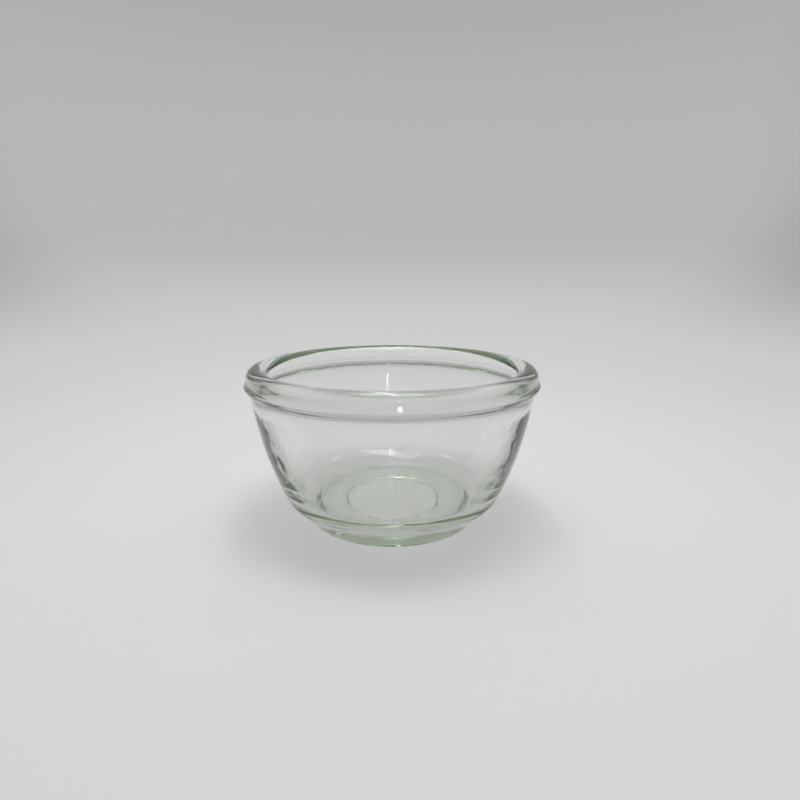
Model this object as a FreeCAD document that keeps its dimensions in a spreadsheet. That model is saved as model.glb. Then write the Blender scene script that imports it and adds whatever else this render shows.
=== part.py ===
import FreeCAD, Part
import math
import os

import Sketcher

# Crystallizing dish: one piece of thick pressed glass, turned round Z from its half-section.
# Millimetres, +Z up. The origin is on the axis of the dish, in the plane its foot stands on.

# Driving dimensions: each becomes an aliased cell of the sheet.
SIZES = {
    # overall
    "rim_diameter": (80.0, "over the parting ridge, the widest place"),
    "overall_height": (43.6, "standing plane to the crest of the rim"),
    # outside of the bowl
    "wall_lean": (10.6, "widest place of the rim in to the heel, where the wall turns in towards the foot"),
    "heel_height": (7.0, "height of the heel"),
    "heel_radius": (4.0, "rounding of the heel"),
    "foot_step": (6.8, "heel in to the outer edge of the flat face that the dish stands on"),
    "foot_edge_radius": (0.5, "rounding of that edge"),
    "outer_bow_radius": (93.0, "outward bow of the wall, outside"),
    "bead_overhang": (1.376, "widest place of the rim in to the outside of the wall, level with it"),
    # inside of the bowl
    "wall_at_bead": (2.525, "thickness of the wall, level with the widest place of the rim"),
    "inner_bow_radius": (92.0, "outward bow of the wall, inside"),
    "wall_at_heel": (5.6, "heel in to where the inner wall, carried down, meets the floor"),
    "floor_thickness": (6.0, "standing plane to the inner floor"),
    "corner_radius": (9.0, "rounding between the inner wall and the floor"),
    # rim bead
    "bead_width": (5.9, "inner side of the bead to its widest place"),
    "crest_radius": (2.65, "rounding over the crest and down the inner side"),
    "shoulder_drop": (4.6, "crest of the rim down to its widest place"),
    "shoulder_radius": (1.6, "rounding at the widest place"),
    "underbead_radius": (1.6, "hollow rounding between wall and bead, outside"),
    "throat_radius": (12.0, "hollow rounding between wall and bead, inside"),
    # parting line of the mould
    "ridge_height": (0.15, "how far the parting ridge stands out of the bead"),
    "ridge_width": (0.8, "width of the ridge along Z"),
    # underside
    "recess_diameter": (27.0, "shallow round recess in the middle of the underside"),
    "recess_depth": (1.2, "depth of the recess"),
    "recess_edge_radius": (0.5, "rounding of the two edges of the recess"),
}

# Places on the half-section: distance from the axis, and height.
PLACES = {
    "recess_middle": ("0", "sizes.recess_depth"),
    "recess_corner": ("sizes.recess_diameter / 2", "sizes.recess_depth"),
    "recess_mouth": ("sizes.recess_diameter / 2", "0"),
    "foot_edge": ("sizes.rim_diameter / 2 - sizes.wall_lean - sizes.foot_step", "0"),
    "heel": ("sizes.rim_diameter / 2 - sizes.wall_lean", "sizes.heel_height"),
    "wall_top_outside": ("sizes.rim_diameter / 2 - sizes.bead_overhang",
                         "sizes.overall_height - sizes.shoulder_drop"),
    "wall_top_inside": ("sizes.rim_diameter / 2 - sizes.bead_overhang - sizes.wall_at_bead",
                        "sizes.overall_height - sizes.shoulder_drop"),
    "floor_corner": ("sizes.rim_diameter / 2 - sizes.wall_lean - sizes.wall_at_heel",
                     "sizes.floor_thickness"),
    "floor_middle": ("0", "sizes.floor_thickness"),
    "crest_centre": ("sizes.rim_diameter / 2 - sizes.bead_width + sizes.crest_radius",
                     "sizes.overall_height - sizes.crest_radius"),
    "shoulder_centre": ("sizes.rim_diameter / 2 - sizes.ridge_height - sizes.shoulder_radius",
                        "sizes.overall_height - sizes.shoulder_drop"),
    "ridge_tip": ("sizes.rim_diameter / 2", "sizes.overall_height - sizes.shoulder_drop"),
    "ridge_foot_above": ("sizes.rim_diameter / 2 - sizes.ridge_width",
                         "sizes.overall_height - sizes.shoulder_drop + sizes.ridge_width"),
    "ridge_foot_below": ("sizes.rim_diameter / 2 - sizes.ridge_width",
                         "sizes.overall_height - sizes.shoulder_drop - sizes.ridge_width"),
}

# Middle of the wall where the bead takes root: distance from the axis.
WALL_MIDDLE = "sizes.rim_diameter / 2 - sizes.bead_overhang - sizes.wall_at_bead / 2"

START, END, CENTRE = 1, 2, 3      # point numbers of a sketch element
ORIGIN = (-1, 1)                  # the sketch's origin
GROUND_LINE, AXIS_LINE = -1, -2   # the sketch's axes: the standing plane, and Z

doc = FreeCAD.newDocument("crystallizing_dish")
sheet = doc.addObject("Spreadsheet::Sheet", "sizes")
for row, (alias, (value, meaning)) in enumerate(SIZES.items(), start=1):
    sheet.set(f"A{row}", alias)
    sheet.set(f"B{row}", str(value))
    sheet.set(f"C{row}", meaning)
    sheet.setAlias(f"B{row}", alias)
doc.recompute()


def work_out(formula):
    """Value of a formula of driving dimensions, in millimetres."""
    return float(sheet.evalExpression(formula))


def size(alias):
    return work_out(f"sizes.{alias}")


def place(name):
    radius, height = PLACES[name]
    return FreeCAD.Vector(work_out(radius), work_out(height), 0)


class Profile:
    """A closed outline on the XZ plane of a body, every dimension of it bound to the sheet."""

    def __init__(self, body, name):
        plane = next(f for f in body.Origin.OriginFeatures if f.Role == "XZ_Plane")
        self.sketch = body.newObject("Sketcher::SketchObject", name)
        self.sketch.AttachmentSupport = [(plane, "")]
        self.sketch.MapMode = "FlatFace"

    def line(self, start, end):
        return self.sketch.addGeometry(Part.LineSegment(start, end), False)

    def arc(self, centre, radius, first_angle, last_angle):
        circle = Part.Circle(centre, FreeCAD.Vector(0, 0, 1), radius)
        return self.sketch.addGeometry(Part.ArcOfCircle(circle, first_angle, last_angle), False)

    def relate(self, kind, *what):
        self.sketch.addConstraint(Sketcher.Constraint(kind, *what))

    def bind(self, kind, name, formula, *what):
        """A dimension that takes its value from the sheet."""
        index = self.sketch.addConstraint(Sketcher.Constraint(kind, *what, work_out(formula)))
        self.sketch.renameConstraint(index, name)
        self.sketch.setExpression(f"Constraints.{name}", formula)

    def fix(self, name, element, end):
        """Hold one end of an element, or its centre, at a named place."""
        radius, height = PLACES[name]
        if radius == "0":
            self.relate("PointOnObject", element, end, AXIS_LINE)
        else:
            self.bind("DistanceX", f"{name}_radius", radius, *ORIGIN, element, end)
        if height == "0":
            self.relate("PointOnObject", element, end, GROUND_LINE)
        else:
            self.bind("DistanceY", f"{name}_height", height, *ORIGIN, element, end)


def angle(origin, towards):
    return math.atan2(towards.y - origin.y, towards.x - origin.x)


def bow_centre(lower, upper, radius):
    """Centre, on the side of the axis, of an arc that bows outwards between two places."""
    chord = upper - lower
    inward = FreeCAD.Vector(-chord.y, chord.x, 0).normalize()
    return (lower + upper) * 0.5 + inward * math.sqrt(radius ** 2 - (chord.Length / 2) ** 2)


def turned(body, profile, name):
    """The profile revolved once round Z."""
    solid = body.newObject("PartDesign::Revolution", name)
    solid.Profile = profile.sketch
    solid.ReferenceAxis = (profile.sketch, ["V_Axis"])
    solid.Angle = 360.0
    doc.recompute()
    return solid


def draw_bowl(body):
    """Foot, wall and floor. The wall runs up into the rim bead and ends inside it."""
    profile = Profile(body, "bowl_section")
    corners = ["recess_middle", "recess_corner", "recess_mouth", "foot_edge", "heel",
               "wall_top_outside", "wall_top_inside", "floor_corner", "floor_middle"]
    bowed = {"heel": "outer_bow_radius", "wall_top_inside": "inner_bow_radius"}
    edges = []
    for corner, following in zip(corners, corners[1:] + corners[:1]):
        start, end = place(corner), place(following)
        if corner not in bowed:
            edges.append((profile.line(start, end), START, END))
            continue
        radius = size(bowed[corner])
        lower, upper = sorted((start, end), key=lambda p: p.y)
        centre = bow_centre(lower, upper, radius)
        element = profile.arc(centre, radius, angle(centre, lower), angle(centre, upper))
        edges.append((element, START, END) if lower is start else (element, END, START))
    for (this, _, this_end), (following, following_start, _) in zip(edges, edges[1:] + edges[:1]):
        profile.relate("Coincident", this, this_end, following, following_start)
    for corner, (element, first, _) in zip(corners, edges):
        profile.fix(corner, element, first)
        if corner in bowed:
            alias = bowed[corner]
            profile.bind("Radius", alias, f"sizes.{alias}", element)
    return profile


def draw_bead(body):
    """Rim bead: a large rounding at the crest, a small one at the shoulder, and a flank tangent to both."""
    profile = Profile(body, "bead_section")
    crest, shoulder = place("crest_centre"), place("shoulder_centre")
    crest_radius, shoulder_radius = size("crest_radius"), size("shoulder_radius")
    flank = angle(crest, shoulder) + math.acos((crest_radius - shoulder_radius) / (shoulder - crest).Length)
    outward = FreeCAD.Vector(math.cos(flank), math.sin(flank), 0)
    down = FreeCAD.Vector(0, -1, 0)
    reach = work_out(WALL_MIDDLE) - crest.x
    root = crest + FreeCAD.Vector(reach, -math.sqrt(crest_radius ** 2 - reach ** 2), 0)

    crest_arc = profile.arc(crest, crest_radius, flank, 2 * math.pi + angle(crest, root))
    root_line = profile.line(root, shoulder + down * shoulder_radius)
    shoulder_arc = profile.arc(shoulder, shoulder_radius, -0.5 * math.pi, flank)
    flank_line = profile.line(shoulder + outward * shoulder_radius, crest + outward * crest_radius)
    profile.relate("Tangent", shoulder_arc, END, flank_line, START)
    profile.relate("Tangent", flank_line, END, crest_arc, START)
    profile.relate("Coincident", crest_arc, END, root_line, START)
    profile.relate("Coincident", root_line, END, shoulder_arc, START)
    profile.bind("DistanceX", "root_radius", WALL_MIDDLE, *ORIGIN, crest_arc, END)
    profile.relate("Vertical", shoulder_arc, CENTRE, shoulder_arc, START)
    profile.fix("crest_centre", crest_arc, CENTRE)
    profile.fix("shoulder_centre", shoulder_arc, CENTRE)
    profile.bind("Radius", "crest_radius", "sizes.crest_radius", crest_arc)
    profile.bind("Radius", "shoulder_radius", "sizes.shoulder_radius", shoulder_arc)
    return profile


def draw_ridge(body):
    """Parting ridge of the mould round the shoulder, rooted in the bead."""
    profile = Profile(body, "ridge_section")
    corners = ["ridge_foot_below", "ridge_tip", "ridge_foot_above"]
    lines = [profile.line(place(corner), place(following))
             for corner, following in zip(corners, corners[1:] + corners[:1])]
    for this, following in zip(lines, lines[1:] + lines[:1]):
        profile.relate("Coincident", this, END, following, START)
    for corner, element in zip(corners, lines):
        profile.fix(corner, element, START)
    return profile


def rings(shape):
    """The level closed edges of a shape: edge name, radius, height."""
    for number, edge in enumerate(shape.Edges, start=1):
        box = edge.BoundBox
        if edge.isClosed() and box.ZLength < 0.01:
            yield f"Edge{number}", box.XLength / 2, box.Center.z


def round_rings(body, feature, name, alias, wanted):
    """Fillet the level rings whose radius and height the test accepts."""
    names = [ring for ring, radius, height in rings(feature.Shape) if wanted(radius, height)]
    if not names:
        raise RuntimeError(f"{name}: no such edge on {feature.Name}")
    fillet = body.newObject("PartDesign::Fillet", name)
    fillet.Base = (feature, names)
    fillet.setExpression("Radius", f"sizes.{alias}")
    doc.recompute()
    return fillet


def near(name):
    """Test for the ring that passes through a named place."""
    spot = place(name)
    return lambda radius, height: math.hypot(radius - spot.x, height - spot.y) < 0.05


def wall_meets_bead(outside):
    """Test for the ring where the bead meets the outside, or the inside, of the wall."""
    wall_middle = work_out(WALL_MIDDLE)
    lowest = place("shoulder_centre").y - size("bead_width")

    def test(radius, height):
        if outside:
            return wall_middle < radius and lowest < height < place("shoulder_centre").y
        return place("floor_corner").x < radius < wall_middle and lowest < height < place("crest_centre").y

    return test


def make_dish():
    body = doc.addObject("PartDesign::Body", "dish")
    body.Label = "dish"
    turned(body, draw_bowl(body), "bowl")
    shape = turned(body, draw_bead(body), "bead")
    shape = round_rings(body, shape, "underbead", "underbead_radius", wall_meets_bead(outside=True))
    shape = round_rings(body, shape, "throat", "throat_radius", wall_meets_bead(outside=False))
    shape = round_rings(body, shape, "inner_corner", "corner_radius", near("floor_corner"))
    shape = round_rings(body, shape, "heel_rounding", "heel_radius", near("heel"))
    shape = round_rings(body, shape, "foot_edge", "foot_edge_radius", near("foot_edge"))
    shape = round_rings(body, shape, "recess_corner", "recess_edge_radius", near("recess_corner"))
    shape = round_rings(body, shape, "recess_mouth", "recess_edge_radius", near("recess_mouth"))
    plain = shape.Shape.Volume
    shape = turned(body, draw_ridge(body), "parting_ridge")
    if shape.Shape.Volume <= plain:
        raise RuntimeError("the parting ridge adds nothing to the bead")
    body.Tip = shape
    return body


def check(node):
    for item in doc.Objects:
        if "Invalid" in item.State or "Error" in item.State:
            raise RuntimeError(f"{item.Name} failed: {item.State}")
    if node.Shape.isNull() or not node.Shape.isValid() or len(node.Shape.Solids) != 1:
        raise RuntimeError(f"{node.Label} is not one valid solid")


dish = make_dish()
doc.recompute()
check(dish)
os.makedirs("parts", exist_ok=True)
dish.Shape.exportStep(f"parts/{dish.Label}.step")
box = dish.Shape.optimalBoundingBox(True)
print(f"{dish.Label}: {dish.Shape.Volume / 1000:.2f} cm3, {box.XLength:.2f} x {box.YLength:.2f} x {box.ZLength:.2f} mm")
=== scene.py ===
import math

import bmesh
import bpy
from bpy.props import FloatProperty, IntProperty, PointerProperty, StringProperty
from bpy.types import Operator, Panel, PropertyGroup
from mathutils import Matrix, Vector, noise


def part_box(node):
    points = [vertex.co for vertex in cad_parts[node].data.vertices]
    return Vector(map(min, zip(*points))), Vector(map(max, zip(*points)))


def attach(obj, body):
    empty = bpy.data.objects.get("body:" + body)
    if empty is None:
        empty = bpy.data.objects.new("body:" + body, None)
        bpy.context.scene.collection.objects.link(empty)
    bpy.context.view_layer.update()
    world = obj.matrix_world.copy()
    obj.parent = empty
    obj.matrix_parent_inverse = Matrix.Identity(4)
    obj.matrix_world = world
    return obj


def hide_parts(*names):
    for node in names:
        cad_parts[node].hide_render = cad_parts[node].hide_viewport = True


bl_info = {
    "name": "Crystallizing Dish",
    "version": (1, 0, 0),
    "blender": (4, 5, 0),
    "location": "3D View > Sidebar > Dish",
    "description": "A pressed-glass crystallizing dish on its packed frame, with a plain studio stage",
    "category": "Add Mesh",
}

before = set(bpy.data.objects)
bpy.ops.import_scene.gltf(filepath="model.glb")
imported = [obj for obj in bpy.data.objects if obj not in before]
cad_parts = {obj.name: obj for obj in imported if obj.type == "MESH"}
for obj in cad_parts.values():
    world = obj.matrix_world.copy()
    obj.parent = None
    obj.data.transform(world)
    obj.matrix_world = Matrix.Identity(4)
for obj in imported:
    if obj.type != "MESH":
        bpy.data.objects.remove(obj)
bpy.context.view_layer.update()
DISH_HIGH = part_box("dish")[1]
MM = 0.001
FULL_TURN = 2.0 * math.pi

# longest steps along the parts of the half-section
FLAT_STEP = 1.2 * MM
FLOOR_STEP = 1.0 * MM
WALL_STEP = 0.55 * MM
CORNER_STEP = 0.5 * MM
ROUND_STEP = 0.28 * MM
RECESS_EDGE_STEP = 0.15 * MM
RIDGE_STEP = 0.12 * MM
FOOT_EDGE_STEP = 0.1 * MM
RIDGE_BLUNTNESS = 0.3

# unevenness of the pressed glass: a second, finer wave rides on the first
FINE_WAVE_DEPTH = 0.45
FINE_WAVE_PITCH = 2.3
FINE_WAVE_OFFSET = Vector((7.1, 3.3, 5.7))
STILL_ABOVE_FOOT = 1.5 * MM
STILL_AT_RIM = 0.8 * MM
LEAST_AT_CREST = 0.25
RIPPLE_LENGTH = 4.0 * MM
RIPPLE_DEPTH = 0.03 * MM

# paper stage: painted shade darkens its wall towards the front and up the wall, and painted light makes it
# glow faintly
FLOOR_STEP_OF_PAPER = 20 * MM
SWEEP_STEP_OF_PAPER = 8 * MM
PAPER_SEGMENTS = 96
# painted shade: along Y, where the darker colour on the paper wall begins and where it is full
PAINTED_SHADE_STARTS, PAINTED_SHADE_ENDS = 330 * MM, 180 * MM
WALL_STARTS, WALL_ENDS = 4 * MM, 90 * MM
# painted light: the paper glows, fully on the floor and by the share below on the unshaded wall, to lighten
# the dish's shadow
PAINTED_PAPER_GLOW = 0.26
PAINTED_GLOW_WALL_SHARE = 0.5

# room light and lamps: name, place, width, depth and power
ROOM_COLOUR = "#DDE0E0"
ROOM_STRENGTH = 0.36
LAMP_AIM = Vector((0.0, 0.0, 20 * MM))
LAMPS = (
    ("soft_panel", (10.0, 10.0, 420.0), 260 * MM, 160 * MM, 0.30),
    ("ceiling_bar_1", (-52.0, 20.0, 300.0), 6 * MM, 440 * MM, 0.075),
    ("ceiling_bar_2", (-2.0, 20.0, 300.0), 6 * MM, 440 * MM, 0.075),
    ("ceiling_bar_3", (46.0, 20.0, 300.0), 6 * MM, 440 * MM, 0.075),
    ("window_lamp", (26.0, -290.0, 70.0), 14 * MM, 40 * MM, 0.025),
)

# light meets many faces inside thick glass before it comes out again
LIGHT_BOUNCES = 32
MIRROR_BOUNCES = 24
GLASS_BOUNCES = 32

CAMERA_LENS = 29.25
CAMERA_TILT_DOWN = 12.71
CAMERA_TURN = -0.67
CAMERA_PLACE = Vector((0.0, -175.8, 73.0)) * MM
CAMERA_NEAREST = 10 * MM


# ---------------------------------------------------------------- sizes and colours a user may change

def length(name, description, millimetres):
    return FloatProperty(name=name, description=description, default=millimetres * MM, unit="LENGTH",
                         precision=5)


class DishSizes(PropertyGroup):
    """Half-section of the dish. Its rim diameter and its height come from the frame."""

    foot_diameter: length("Foot diameter", "Outer edge of the flat face the dish stands on", 45.2)
    foot_edge_radius: length("Foot edge radius", "Rounding of that edge", 0.5)
    heel_diameter: length("Heel diameter", "Where the wall turns in towards the foot", 58.8)
    heel_height: length("Heel height", "Height of that turn", 7.0)
    heel_radius: length("Heel radius", "Rounding of that turn", 4.0)
    outer_bow_radius: length("Outer bow radius", "Outward bow of the wall, outside", 93.0)
    bead_overhang: length("Bead overhang", "Widest place of the rim to the outside of the wall", 1.2)
    wall_at_bead: length("Wall at the bead", "Thickness of the wall, level with the bead", 2.4)
    inner_bow_radius: length("Inner bow radius", "Outward bow of the wall, inside", 92.0)
    floor_diameter: length("Floor diameter", "Inner wall carried down to the floor", 47.6)
    floor_thickness: length("Floor thickness", "Standing plane to the inner floor", 6.0)
    corner_radius: length("Corner radius", "Rounding between the inner wall and the floor", 9.0)
    bead_width: length("Bead width", "Inner side of the bead to its widest place", 5.9)
    crest_radius: length("Crest radius", "Rounding over the crest and down the inner side", 2.65)
    shoulder_drop: length("Shoulder drop", "Crest of the rim down to its widest place", 4.6)
    shoulder_radius: length("Shoulder radius", "Rounding at the widest place", 1.6)
    underbead_radius: length("Underbead radius", "Hollow rounding below the bead, outside", 1.6)
    throat_radius: length("Throat radius", "Hollow rounding below the bead, inside", 12.0)
    ridge_height: length("Ridge height", "How far the parting ridge stands out of the bead", 0.15)
    ridge_width: length("Ridge width", "Half width of the parting ridge at its root", 0.5)
    recess_diameter: length("Recess diameter", "Shallow round recess in the underside", 27.0)
    recess_depth: length("Recess depth", "Depth of the recess", 1.2)
    recess_edge_radius: length("Recess edge radius", "Rounding of the edges of the recess", 0.5)
    segments: IntProperty(name="Segments", description="Steps once round the dish", default=320, min=32)


class GlassLook(PropertyGroup):
    """How the glass takes light."""

    tint: StringProperty(name="Tint", description="Colour of daylight after a long way through",
                         default="#B8CCA9")
    tint_depth: length("Tint depth", "Way through the glass that gives about that colour", 40.0)
    index: FloatProperty(name="IOR", description="Refractive index of soda-lime glass", default=1.52)
    waviness: length("Waviness", "Depth of the slow unevenness left by pressing and fire-polishing", 0.032)
    wave_length: length("Wave length", "Distance from one wave to the next", 8.0)


class StageSizes(PropertyGroup):
    """Paper stage, lamps and camera."""

    floor_radius: length("Floor radius", "Flat part of the paper", 260.0)
    sweep_radius: length("Sweep radius", "Curve of the paper from floor to wall", 160.0)
    wall_height: length("Wall height", "Top of the paper", 520.0)
    paper: StringProperty(name="Paper", description="Colour of the paper", default="#E6E5E6")
    # painted shade: this darker colour stands in for the shade on the paper walls at the sides and front
    shade: StringProperty(name="Shade", description="Colour of the paper walls at the sides and front",
                          default="#8E908F")


# ---------------------------------------------------------------- small tools

def to_linear(colour):
    """Linear RGBA of an sRGB hex value."""
    parts = [int(colour[i:i + 2], 16) / 255.0 for i in (1, 3, 5)]
    linear = [c / 12.92 if c <= 0.04045 else ((c + 0.055) / 1.055) ** 2.4 for c in parts]
    return (*linear, 1.0)


def node(tree, kind, settings=None, **links):
    """Add a node, set its properties and sockets, and link what is given as a socket."""
    made = tree.nodes.new(kind)
    for name, value in (settings or {}).items():
        if name in made.inputs:
            made.inputs[name].default_value = value
        else:
            setattr(made, name, value)
    for name, socket in links.items():
        tree.links.new(socket, made.inputs[name.replace("_", " ")])
    return made


def new_material(name):
    material = bpy.data.materials.new(name)
    material.use_nodes = True
    material.node_tree.nodes.clear()
    return material, material.node_tree


def add_object(mesh, name, material):
    """Turn a finished bmesh into a smooth-shaded object at the origin."""
    data = bpy.data.meshes.new(name)
    mesh.to_mesh(data)
    mesh.free()
    data.shade_smooth()
    data.materials.append(material)
    made = bpy.data.objects.new(name, data)
    bpy.context.scene.collection.objects.link(made)
    return made


# ---------------------------------------------------------------- half-section

def polar(centre, radius, angle):
    return centre + radius * Vector((math.cos(angle), math.sin(angle)))


def towards(start, end, distance):
    """Point on the way from start to end, at a distance from start."""
    return start + distance * (end - start).normalized()


def crossing(centre_a, radius_a, centre_b, radius_b, side):
    """Where two circles cross: side 1 is left of the line from a to b, and side -1 is right of it."""
    line = centre_b - centre_a
    along = (radius_a ** 2 - radius_b ** 2 + line.length_squared) / (2 * line.length)
    across = math.sqrt(radius_a ** 2 - along ** 2)
    unit = line.normalized()
    return centre_a + along * unit + side * across * Vector((-unit.y, unit.x))


def bow_centre(lower, upper, radius):
    """Centre, on the side of the axis, of an arc that bows outwards between two points."""
    chord = upper - lower
    inward = Vector((-chord.y, chord.x)).normalized()
    return (lower + upper) / 2 + inward * math.sqrt(radius ** 2 - chord.length_squared / 4)


class Pen:
    """Draws the half-section as a chain of edges: extrusions for straight runs, spins for rounds."""

    def __init__(self, start, step):
        self.mesh = bmesh.new()
        self.step = step
        self.tip = self.mesh.verts.new((start.x, 0.0, start.y))

    def place(self):
        return Vector((self.tip.co.x, self.tip.co.z))

    def line(self, end, step=None):
        run = end - self.place()
        steps = max(1, round(run.length / (step or self.step)))
        for _ in range(steps):
            made = bmesh.ops.extrude_vert_indiv(self.mesh, verts=[self.tip])
            self.tip = made["verts"][0]
            self.tip.co += Vector((run.x, 0.0, run.y)) / steps

    def arc(self, centre, end, step=None):
        start = self.place() - centre
        sweep = start.angle_signed(end - centre)
        steps = max(3, round(abs(sweep) * start.length / (step or self.step)))
        made = bmesh.ops.spin(self.mesh, geom=[self.tip], cent=(centre.x, 0.0, centre.y),
                              axis=(0.0, 1.0, 0.0), dvec=(0.0, 0.0, 0.0), angle=sweep, steps=steps,
                              use_duplicate=False)
        self.tip = next(item for item in made["geom_last"] if isinstance(item, bmesh.types.BMVert))


def turn_section(mesh, steps, weld):
    """Turn the half-section once round Z, and weld the seam and the middle."""
    bmesh.ops.spin(mesh, geom=mesh.verts[:] + mesh.edges[:], cent=(0.0, 0.0, 0.0), axis=(0.0, 0.0, 1.0),
                   dvec=(0.0, 0.0, 0.0), angle=FULL_TURN, steps=steps, use_merge=True, use_duplicate=False)
    bmesh.ops.remove_doubles(mesh, verts=mesh.verts[:], dist=weld)
    bmesh.ops.recalc_face_normals(mesh, faces=mesh.faces[:])


def draw_section(sizes):
    """The half-section of the dish, from the middle of its underside round to the middle of its floor."""
    rim_radius = DISH_HIGH.x
    height = DISH_HIGH.z
    foot = Vector((sizes.foot_diameter / 2, 0.0))
    heel = Vector((sizes.heel_diameter / 2, sizes.heel_height))
    bead_level = height - sizes.crest_radius
    wall_top = Vector((rim_radius - sizes.bead_overhang, bead_level))
    inner_top = wall_top - Vector((sizes.wall_at_bead, 0.0))
    floor_corner = Vector((sizes.floor_diameter / 2, sizes.floor_thickness))

    # circles that the outline runs on
    outer_centre = bow_centre(heel, wall_top, sizes.outer_bow_radius)
    inner_centre = bow_centre(floor_corner, inner_top, sizes.inner_bow_radius)
    crest = Vector((rim_radius - sizes.bead_width + sizes.crest_radius, bead_level))
    shoulder = Vector((rim_radius - sizes.ridge_height - sizes.shoulder_radius,
                       height - sizes.shoulder_drop))
    underbead = crossing(outer_centre, sizes.outer_bow_radius + sizes.underbead_radius,
                         shoulder, sizes.shoulder_radius + sizes.underbead_radius, -1)
    throat = crossing(inner_centre, sizes.inner_bow_radius - sizes.throat_radius,
                      crest, sizes.crest_radius + sizes.throat_radius, -1)
    corner_rise = sizes.floor_thickness + sizes.corner_radius
    corner_reach = sizes.inner_bow_radius - sizes.corner_radius
    corner = Vector((inner_centre.x + math.sqrt(corner_reach ** 2 - (corner_rise - inner_centre.y) ** 2),
                     corner_rise))

    # rounds on the straight cone between foot and heel
    cone = (heel - foot).normalized()
    inward = Vector((-cone.y, cone.x))
    cone_angle = math.atan2(cone.y, cone.x)
    foot_round = Vector((foot.x - sizes.foot_edge_radius * math.tan(cone_angle / 2),
                         sizes.foot_edge_radius))
    offset_foot = foot + sizes.heel_radius * inward
    reach = offset_foot - outer_centre
    along = -reach.dot(cone) + math.sqrt(reach.dot(cone) ** 2 - reach.length_squared
                                         + (sizes.outer_bow_radius - sizes.heel_radius) ** 2)
    heel_round = offset_foot + along * cone

    # flank of the bead, tangent to crest and shoulder
    gap = shoulder - crest
    flank_angle = (math.atan2(gap.y, gap.x)
                   + math.acos((sizes.crest_radius - sizes.shoulder_radius) / gap.length))

    recess_radius = sizes.recess_diameter / 2
    edge = sizes.recess_edge_radius
    pen = Pen(Vector((0.0, sizes.recess_depth)), WALL_STEP)
    pen.line(Vector((recess_radius - edge, sizes.recess_depth)), FLAT_STEP)
    pen.arc(Vector((recess_radius - edge, sizes.recess_depth - edge)),
            Vector((recess_radius, sizes.recess_depth - edge)), RECESS_EDGE_STEP)
    pen.line(Vector((recess_radius, edge)))
    pen.arc(Vector((recess_radius + edge, edge)), Vector((recess_radius + edge, 0.0)), RECESS_EDGE_STEP)
    pen.line(Vector((foot_round.x, 0.0)), FLAT_STEP)
    pen.arc(foot_round, foot_round - sizes.foot_edge_radius * inward, FOOT_EDGE_STEP)
    pen.line(heel_round - sizes.heel_radius * inward)
    pen.arc(heel_round, towards(outer_centre, heel_round, sizes.outer_bow_radius), ROUND_STEP)
    pen.arc(outer_centre, towards(outer_centre, underbead, sizes.outer_bow_radius))
    pen.arc(underbead, towards(underbead, shoulder, sizes.underbead_radius), ROUND_STEP)

    # parting ridge: its upper side ends at the flank, where the shoulder's round does
    ridge_turn = sizes.ridge_width / sizes.shoulder_radius
    ridge = sizes.ridge_height
    pen.arc(shoulder, polar(shoulder, sizes.shoulder_radius, -ridge_turn), ROUND_STEP)
    pen.line(Vector((rim_radius - ridge * RIDGE_BLUNTNESS, shoulder.y - ridge)), RIDGE_STEP)
    pen.line(Vector((rim_radius, shoulder.y)), RIDGE_STEP)
    pen.line(Vector((rim_radius - ridge * RIDGE_BLUNTNESS, shoulder.y + ridge)), RIDGE_STEP)
    pen.line(polar(shoulder, sizes.shoulder_radius, min(ridge_turn, flank_angle)), RIDGE_STEP)

    pen.line(polar(crest, sizes.crest_radius, flank_angle), ROUND_STEP)
    pen.arc(crest, crest + Vector((0.0, sizes.crest_radius)), ROUND_STEP)
    pen.arc(crest, towards(crest, throat, sizes.crest_radius), ROUND_STEP)
    pen.arc(throat, towards(inner_centre, throat, sizes.inner_bow_radius), ROUND_STEP)
    pen.arc(inner_centre, towards(inner_centre, corner, sizes.inner_bow_radius))
    pen.arc(corner, corner - Vector((0.0, sizes.corner_radius)), CORNER_STEP)
    pen.line(Vector((0.0, sizes.floor_thickness)), FLOOR_STEP)
    return pen.mesh


def press_waves(mesh, depth, wave_length):
    """Slow unevenness that pressing and fire-polishing leave. The foot stays flat and the box stays full."""
    mesh.normal_update()
    for vert in mesh.verts:
        spot = vert.co / wave_length
        swing = (noise.noise(spot)
                 + FINE_WAVE_DEPTH * noise.noise(FINE_WAVE_PITCH * spot + FINE_WAVE_OFFSET))
        room = min(1.0, vert.co.z / STILL_ABOVE_FOOT, (DISH_HIGH.x - vert.co.xy.length) / STILL_AT_RIM,
                   (DISH_HIGH.z - vert.co.z) / STILL_AT_RIM + LEAST_AT_CREST)
        vert.co += vert.normal * depth * swing * max(0.0, room)


# ---------------------------------------------------------------- materials

def soda_lime_glass(look):
    """Pressed and fire-polished soda-lime glass: clear, mirror-smooth but not quite even,
    and faintly green from its iron, which shows only where light goes a long way through it."""
    material, tree = new_material("pressed_soda_lime_glass")
    spot = node(tree, "ShaderNodeTexCoord").outputs["Object"]
    # fire-polish leaves slow ripples about 4 mm long and at most 0.03 mm deep
    ripples = node(tree, "ShaderNodeTexNoise", {"Scale": 1 / RIPPLE_LENGTH, "Detail": 2.0, "Roughness": 0.5},
                   Vector=spot)
    ripple_bump = node(tree, "ShaderNodeBump", {"Strength": 1.0, "Distance": RIPPLE_DEPTH},
                       Height=ripples.outputs["Fac"])
    surface = node(tree, "ShaderNodeBsdfPrincipled",
                   {"Base Color": (1.0, 1.0, 1.0, 1.0), "Roughness": 0.0, "IOR": look.index,
                    "Transmission Weight": 1.0},
                   Normal=ripple_bump.outputs["Normal"])
    body = node(tree, "ShaderNodeVolumeAbsorption",
                {"Color": to_linear(look.tint), "Density": 1.0 / look.tint_depth})
    node(tree, "ShaderNodeOutputMaterial", Surface=surface.outputs["BSDF"], Volume=body.outputs["Volume"])
    return material


def fade(tree, value, settings):
    """A value carried from one range to another."""
    return node(tree, "ShaderNodeMapRange", settings, Value=value).outputs["Result"]


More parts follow.
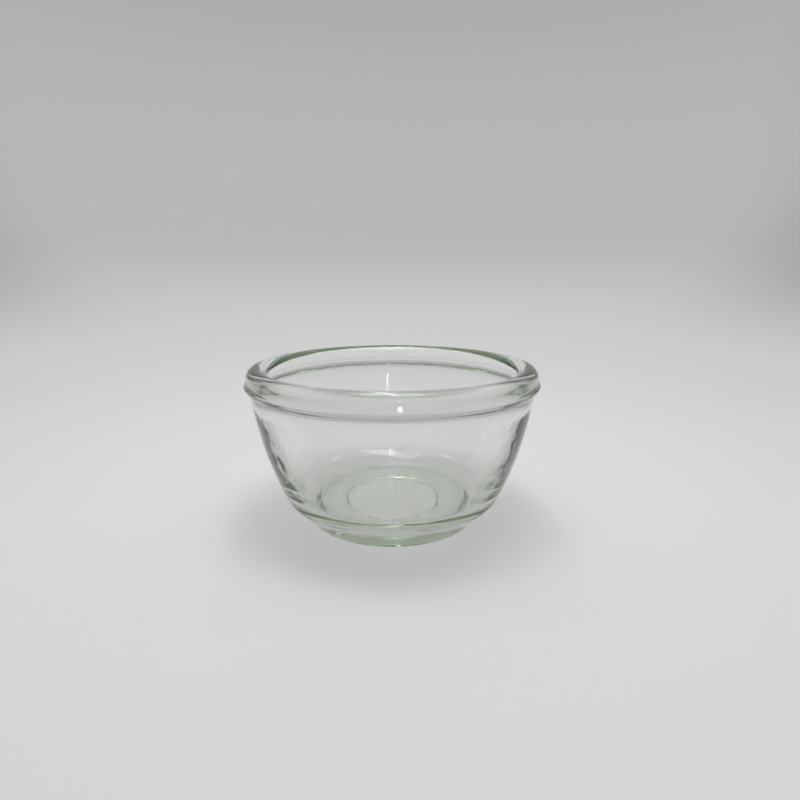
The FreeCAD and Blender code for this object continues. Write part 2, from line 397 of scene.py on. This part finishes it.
def product(tree, first, second):
    """Two values multiplied."""
    made = node(tree, "ShaderNodeMath", {"operation": "MULTIPLY"})
    tree.links.new(first, made.inputs[0])
    tree.links.new(second, made.inputs[1])
    return made.outputs["Value"]


def matt_paper(colour, shade):
    """Smooth matt white paper with a barely felt tooth. Its wall is coloured with painted shade, darker from
    the back to the front, and the paper glows faintly with painted light, least where the painted shade is
    dark."""
    material, tree = new_material("matt_white_paper")
    spot = node(tree, "ShaderNodeTexCoord").outputs["Object"]
    tooth = node(tree, "ShaderNodeTexNoise", {"Scale": 1 / (0.6 * MM), "Detail": 3.0}, Vector=spot)
    bump = node(tree, "ShaderNodeBump", {"Strength": 0.15, "Distance": 0.05 * MM},
                Height=tooth.outputs["Fac"])
    # painted shade: the wall is coloured darker at the sides and front, and up from the floor
    along = node(tree, "ShaderNodeSeparateXYZ", Vector=spot)
    forward = fade(tree, along.outputs["Y"], {"From Min": PAINTED_SHADE_STARTS, "From Max": PAINTED_SHADE_ENDS,
                                              "interpolation_type": "SMOOTHSTEP"})
    upward = fade(tree, along.outputs["Z"], {"From Min": WALL_STARTS, "From Max": WALL_ENDS,
                                             "interpolation_type": "SMOOTHSTEP"})
    dark = product(tree, forward, upward)

    # sockets of the colour mix: 0 its share, 6 and 7 the two colours, and output 2 the mixed colour
    painted_shade_colour = node(tree, "ShaderNodeMix", {"data_type": "RGBA"})
    painted_shade_colour.inputs[6].default_value = to_linear(colour)
    painted_shade_colour.inputs[7].default_value = to_linear(shade)
    tree.links.new(dark, painted_shade_colour.inputs[0])

    # painted light: the paper glows like a lamp, fully on the floor, less up the wall, and not at all under
    # the painted shade
    painted_glow = product(tree, fade(tree, upward, {"To Min": 1.0, "To Max": PAINTED_GLOW_WALL_SHARE}),
                   fade(tree, dark, {"To Min": 1.0, "To Max": 0.0}))
    surface = node(tree, "ShaderNodeBsdfPrincipled",
                   {"Roughness": 0.9, "Specular IOR Level": 0.2, "Emission Strength": PAINTED_PAPER_GLOW},
                   Base_Color=painted_shade_colour.outputs[2], Emission_Color=painted_glow, Normal=bump.outputs["Normal"])
    node(tree, "ShaderNodeOutputMaterial", Surface=surface.outputs["BSDF"])
    return material


# ---------------------------------------------------------------- operators

class DISH_OT_build_dish(Operator):
    """Turn the dish from its half-section, in pressed soda-lime glass"""

    bl_idname = "dish.build_dish"
    bl_label = "Build the dish"
    bl_options = {"REGISTER", "UNDO"}

    def execute(self, context):
        sizes = context.scene.dish_sizes
        look = context.scene.glass_look
        mesh = draw_section(sizes)
        turn_section(mesh, sizes.segments, 0.001 * MM)
        if any(not edge.is_manifold for edge in mesh.edges):
            raise RuntimeError("the turned dish isn't closed")
        press_waves(mesh, look.waviness, look.wave_length)
        dish = add_object(mesh, "dish_glass", soda_lime_glass(look))
        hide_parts("dish")
        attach(dish, "root")
        return {"FINISHED"}


class DISH_OT_set_stage(Operator):
    """Set up the paper stage, the lamps and the camera"""

    bl_idname = "dish.set_stage"
    bl_label = "Set the stage"
    bl_options = {"REGISTER", "UNDO"}

    def execute(self, context):
        scene = context.scene
        self.lay_paper(scene.stage_sizes)
        self.let_light_through(scene)
        self.hang_lamps(scene)
        self.aim_camera(scene)
        return {"FINISHED"}

    def lay_paper(self, stage):
        pen = Pen(Vector((0.0, 0.0)), FLOOR_STEP_OF_PAPER)
        pen.line(Vector((stage.floor_radius, 0.0)))
        centre = Vector((stage.floor_radius, stage.sweep_radius))
        pen.arc(centre, centre + Vector((stage.sweep_radius, 0.0)), SWEEP_STEP_OF_PAPER)
        pen.line(Vector((stage.floor_radius + stage.sweep_radius, stage.wall_height)))
        mesh = pen.mesh
        turn_section(mesh, PAPER_SEGMENTS, 0.01 * MM)
        bmesh.ops.reverse_faces(mesh, faces=mesh.faces[:])
        add_object(mesh, "paper_stage", matt_paper(stage.paper, stage.shade))

    def let_light_through(self, scene):
        scene.view_settings.view_transform = "Standard"
        scene.cycles.max_bounces = LIGHT_BOUNCES
        scene.cycles.glossy_bounces = MIRROR_BOUNCES
        scene.cycles.transmission_bounces = GLASS_BOUNCES

    def hang_lamps(self, scene):
        world = bpy.data.worlds.new("room")
        world.use_nodes = True
        background = world.node_tree.nodes["Background"]
        background.inputs["Color"].default_value = to_linear(ROOM_COLOUR)
        background.inputs["Strength"].default_value = ROOM_STRENGTH
        scene.world = world
        for name, place, width, depth, power in LAMPS:
            self.hang_panel(scene, name, Vector(place) * MM, width, depth, power)

    def hang_panel(self, scene, name, spot, width, depth, power):
        light = bpy.data.lights.new(name, "AREA")
        light.shape = "RECTANGLE"
        light.size = width
        light.size_y = depth
        light.energy = power
        lamp = bpy.data.objects.new(name, light)
        aim = LAMP_AIM - spot
        lamp.matrix_world = Matrix.Translation(spot) @ aim.to_track_quat("-Z", "Y").to_matrix().to_4x4()
        scene.collection.objects.link(lamp)

    def aim_camera(self, scene):
        camera = bpy.data.objects.new("camera", bpy.data.cameras.new("camera"))
        camera.data.lens = CAMERA_LENS
        camera.data.clip_start = CAMERA_NEAREST
        camera.rotation_euler = (math.radians(90.0 - CAMERA_TILT_DOWN), 0.0, math.radians(CAMERA_TURN))
        camera.location = CAMERA_PLACE
        scene.collection.objects.link(camera)
        scene.camera = camera


class DISH_PT_build(Panel):
    """Lists the steps and the sizes"""

    bl_idname = "DISH_PT_build"
    bl_label = "Crystallizing dish"
    bl_space_type = "VIEW_3D"
    bl_region_type = "UI"
    bl_category = "Dish"

    def draw(self, context):
        layout = self.layout
        layout.operator(DISH_OT_build_dish.bl_idname)
        layout.operator(DISH_OT_set_stage.bl_idname)
        for group in (context.scene.dish_sizes, context.scene.glass_look, context.scene.stage_sizes):
            column = layout.box().column()
            for name in group.__annotations__:
                column.prop(group, name)


CLASSES = (DishSizes, GlassLook, StageSizes, DISH_OT_build_dish, DISH_OT_set_stage, DISH_PT_build)


def register():
    for item in CLASSES:
        bpy.utils.register_class(item)
    bpy.types.Scene.dish_sizes = PointerProperty(type=DishSizes)
    bpy.types.Scene.glass_look = PointerProperty(type=GlassLook)
    bpy.types.Scene.stage_sizes = PointerProperty(type=StageSizes)


def unregister():
    del bpy.types.Scene.stage_sizes
    del bpy.types.Scene.glass_look
    del bpy.types.Scene.dish_sizes
    for item in reversed(CLASSES):
        bpy.utils.unregister_class(item)


def main():
    register()
    bpy.ops.dish.build_dish()
    bpy.ops.dish.set_stage()


if __name__ == "__main__":
    main()
